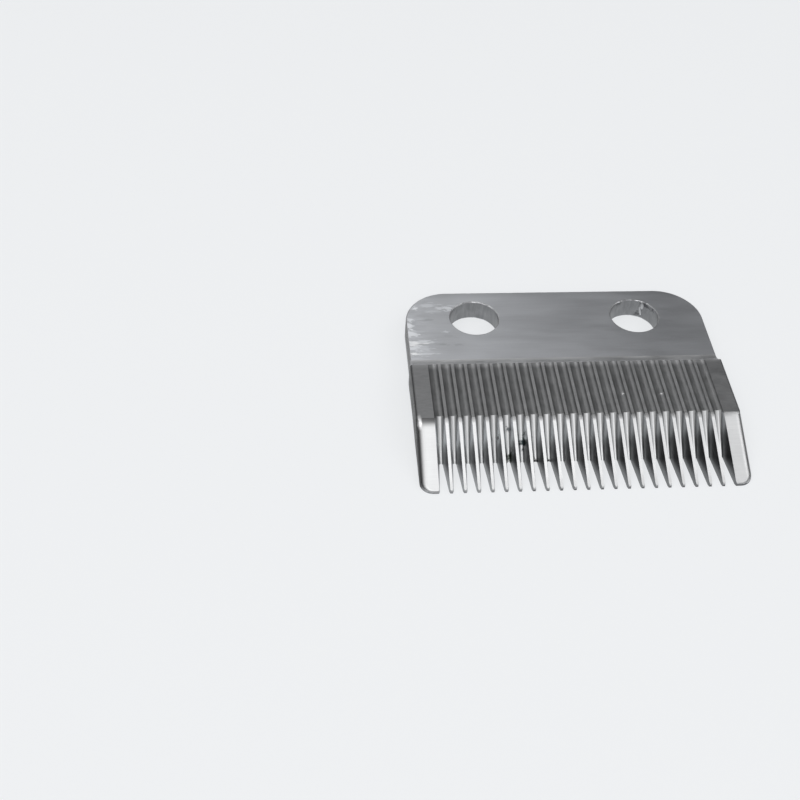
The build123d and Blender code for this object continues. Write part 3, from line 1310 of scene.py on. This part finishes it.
    def make_slots(self) -> Workpiece:
        """Shapes the row of cutters for the slots between the teeth.

        Returns:
            The row of cutters.
        """
        sections = [self.slot_section(*line) for line in self.slot_lines()]
        corners = len(sections[0])
        bpy.ops.object.select_all(action="DESELECT")
        bpy.ops.mesh.primitive_circle_add(vertices=corners)
        cutter = Workpiece.named("slot_cutters", Matrix.Identity(4))
        cutter.edit()
        for _ in sections[1:]:
            bpy.ops.mesh.primitive_circle_add(vertices=corners)
        mesh = bmesh.from_edit_mesh(cutter.piece.data)
        mesh.verts.ensure_lookup_table()
        for number, section in enumerate(sections):
            for corner, place in enumerate(section):
                mesh.verts[number * corners + corner].co = place * MM
        bmesh.update_edit_mesh(cutter.piece.data)
        bpy.ops.mesh.select_all(action="SELECT")
        bpy.ops.mesh.bridge_edge_loops()
        bpy.ops.mesh.select_all(action="SELECT")
        bpy.ops.mesh.fill_holes(sides=0)
        bpy.ops.mesh.select_all(action="SELECT")
        bpy.ops.mesh.normals_make_consistent(inside=False)
        cutter.close()
        # The side faces of a slot get the darker finish: painted shade in the slots.
        cutter.paint(lambda _, normal: Zone.FLANK if abs(normal.x) > FLANK_LEAN else Zone.FLOOR)
        cutter.repeat(self.slot_count, self.tooth_pitch)
        return cutter

    def slot_section(self, setback: float, floor_height: float, floor_sag: float) -> list[Vector]:
        """Outline of a slot's cutter at one setback.

        Args:
            setback: How far behind the tips.
            floor_height: Height of the floor's middle.
            floor_sag: How far the floor's middle lies below its edges.

        Returns:
            The corners: the round floor from left to right, then the lid.
        """
        edge_height = floor_height + floor_sag
        floor_half = self.slot_width(setback, edge_height) / 2
        radius = self.round_radius(2 * floor_half, floor_sag)
        swing = math.asin(min(1.0, floor_half / radius))
        lid = max(self.outer_height(setback), edge_height) + self.lid_gap
        lid_half = self.slot_width(setback, lid) / 2
        facets = self.floor_facets
        turns = [swing * (2 * number / facets - 1) for number in range(facets + 1)]
        floor = [(radius * math.sin(t), floor_height + radius * (1 - math.cos(t))) for t in turns]
        return [self.at(x, setback, z) for x, z in (*floor, (lid_half, lid), (-lid_half, lid))]

    def finish_mesh(self) -> None:
        """Merges stray corners, lays the grain map and smooths the rounded faces."""
        self.work.edit()
        bpy.ops.mesh.remove_doubles(threshold=self.merge_gap * MM)
        bpy.ops.mesh.select_all(action="SELECT")
        bpy.ops.uv.cube_project(cube_size=self.plate_length * MM)
        self.work.close()
        self.work.piece.data.uv_layers[0].name = GRAIN_MAP
        bpy.ops.object.shade_smooth_by_angle(angle=math.radians(self.smooth_angle))
        level = self.work.piece.modifiers.new("level_faces", "WEIGHTED_NORMAL")
        level.keep_sharp = True
        self.work.apply(level)


@dataclass(frozen=True)
class Softbox:
    """A soft lamp that shines on the blade.

    Attributes:
        name: Name of the lamp.
        place: Middle of the lamp, in metres.
        width: Size across, in metres.
        depth: Size along, in metres.
        radiance: Brightness of its face, where 1 is white.
    """

    name: str
    place: Place
    width: float
    depth: float
    radiance: float

    def build(self) -> bpy.types.Object:
        """Adds the lamp, which faces straight down.

        Returns:
            The lamp.
        """
        bpy.ops.object.select_all(action="DESELECT")
        bpy.ops.object.light_add(type="AREA", location=self.place)
        lamp = bpy.context.object
        lamp.name = self.name
        lamp.data.shape = "RECTANGLE"
        lamp.data.size = self.width
        lamp.data.size_y = self.depth
        lamp.data.energy = self.radiance * math.pi * self.width * self.depth
        return lamp


@dataclass
class Studio:
    """The pale floor, the soft lamps and the dim room that the steel mirrors."""

    floor_size: float = 4.0  # in metres
    floor_drop: float = 0.02  # how far the floor lies below the blade, in millimetres
    floor_colour: Colour = (0.90, 0.915, 0.93)
    floor_roughness: float = 0.8
    floor_gloss: float = 0.2
    glow_colour: Colour = (0.85, 0.865, 0.88)
    glow_share: float = 0.75  # share of an even glow in the look of the floor
    room_colour: Colour = (0.09, 0.091, 0.093)
    softboxes: tuple[Softbox, ...] = (
        Softbox("wide_ceiling", (0.0, -0.682, 0.62), 2.232, 1.612, 0.85),
        Softbox("main_softbox", (-0.225, -0.66, 0.60), 0.63, 1.56, 0.96),
        Softbox("rear_softbox", (-0.225, 0.48, 0.60), 0.63, 0.72, 0.89),
        Softbox("right_softbox", (0.72, 0.24, 0.60), 0.72, 0.48, 1.48),
    )

    def build(self) -> None:
        """Lays the floor, hangs the lamps and lights the room."""
        floor = self.lay_floor()
        LOG.info("%s, %.1f m", floor.name, self.floor_size)
        for softbox in self.softboxes:
            lamp = softbox.build()
            LOG.info("lamp %s, %.1f W", lamp.name, lamp.data.energy)
        self.light_room()

    def lay_floor(self) -> bpy.types.Object:
        """Adds the plain pale floor just below the blade.

        Returns:
            The floor.
        """
        bpy.ops.object.select_all(action="DESELECT")
        bpy.ops.mesh.primitive_plane_add(size=self.floor_size, location=(0.0, 0.0, -self.floor_drop * MM))
        floor = bpy.context.object
        floor.name = "floor"
        floor.data.materials.append(self.floor_material())
        return floor

    def floor_material(self) -> bpy.types.Material:
        """Builds the floor's finish, which looks even and pale to the camera and in the steel.

        Returns:
            The material.
        """
        material = bpy.data.materials.new("pale_floor")
        material.use_nodes = True
        nodes = material.node_tree.nodes
        links = material.node_tree.links
        shader = nodes["Principled BSDF"]
        shader.inputs["Base Color"].default_value = (*self.floor_colour, 1.0)
        shader.inputs["Roughness"].default_value = self.floor_roughness
        shader.inputs["Specular IOR Level"].default_value = self.floor_gloss
        glow = nodes.new("ShaderNodeEmission")
        glow.inputs["Color"].default_value = (*self.glow_colour, 1.0)
        glow.inputs["Strength"].default_value = 1.0
        path = nodes.new("ShaderNodeLightPath")
        seen = path.outputs["Is Camera Ray"]
        for mirrored in ("Is Glossy Ray", "Is Transmission Ray"):
            either = nodes.new("ShaderNodeMath")
            either.operation = "MAXIMUM"
            links.new(seen, either.inputs[0])
            links.new(path.outputs[mirrored], either.inputs[1])
            seen = either.outputs["Value"]
        share = nodes.new("ShaderNodeMath")
        share.operation = "MULTIPLY"
        share.inputs[1].default_value = self.glow_share
        links.new(seen, share.inputs[0])
        mix = nodes.new("ShaderNodeMixShader")
        links.new(share.outputs["Value"], mix.inputs["Fac"])
        links.new(shader.outputs["BSDF"], mix.inputs[1])
        links.new(glow.outputs["Emission"], mix.inputs[2])
        links.new(mix.outputs["Shader"], nodes["Material Output"].inputs["Surface"])
        return material

    def light_room(self) -> None:
        """Fills the room with an even, dim light."""
        world = bpy.data.worlds.new("studio_room")
        world.use_nodes = True
        background = world.node_tree.nodes["Background"]
        background.inputs["Color"].default_value = (*self.room_colour, 1.0)
        background.inputs["Strength"].default_value = 1.0
        bpy.context.scene.world = world


@dataclass(frozen=True)
class PhotoCamera:
    """The camera at the photograph's place: above the blade, to the left and in front.

    Attributes:
        place: Where it stands, in metres.
        pitch: How far it looks down, in degrees.
        yaw: How far it looks to the right, in degrees.
        roll: How far it leans, in degrees.
        lens: Focal length, in millimetres.
        sensor: Width of the picture behind the lens, in millimetres.
        near: Nearest distance that shows, in metres.
    """

    place: Place = (-0.038375, -0.124188, 0.124811)
    pitch: float = 45.173
    yaw: float = 6.508
    roll: float = 3.434
    lens: float = 55.196
    sensor: float = 36.0
    near: float = 0.005

    def build(self) -> bpy.types.Object:
        """Adds the camera and makes it the scene's own.

        Returns:
            The camera.
        """
        bpy.ops.object.select_all(action="DESELECT")
        bpy.ops.object.camera_add(location=self.place)
        camera = bpy.context.object
        turn = Matrix.Rotation(math.radians(-self.yaw), 4, "Z")
        tilt = Matrix.Rotation(math.radians(90.0 - self.pitch), 4, "X")
        lean = Matrix.Rotation(math.radians(self.roll), 4, "Z")
        camera.matrix_world = Matrix.Translation(self.place) @ turn @ tilt @ lean
        camera.data.sensor_width = self.sensor
        camera.data.lens = self.lens
        camera.data.clip_start = self.near
        bpy.context.scene.camera = camera
        return camera


def main() -> None:
    """Builds the blade and its studio, and reports each piece."""
    logging.basicConfig(level=logging.INFO, format="%(name)s: %(message)s")
    bpy.context.scene.view_settings.view_transform = "Standard"
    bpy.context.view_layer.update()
    blade = CombBlade().build()
    LOG.info("%s, %d faces", blade.name, len(blade.data.polygons))
    Studio().build()
    camera = PhotoCamera().build()
    LOG.info("camera lens %.1f mm", camera.data.lens)


if __name__ == "__main__":
    main()
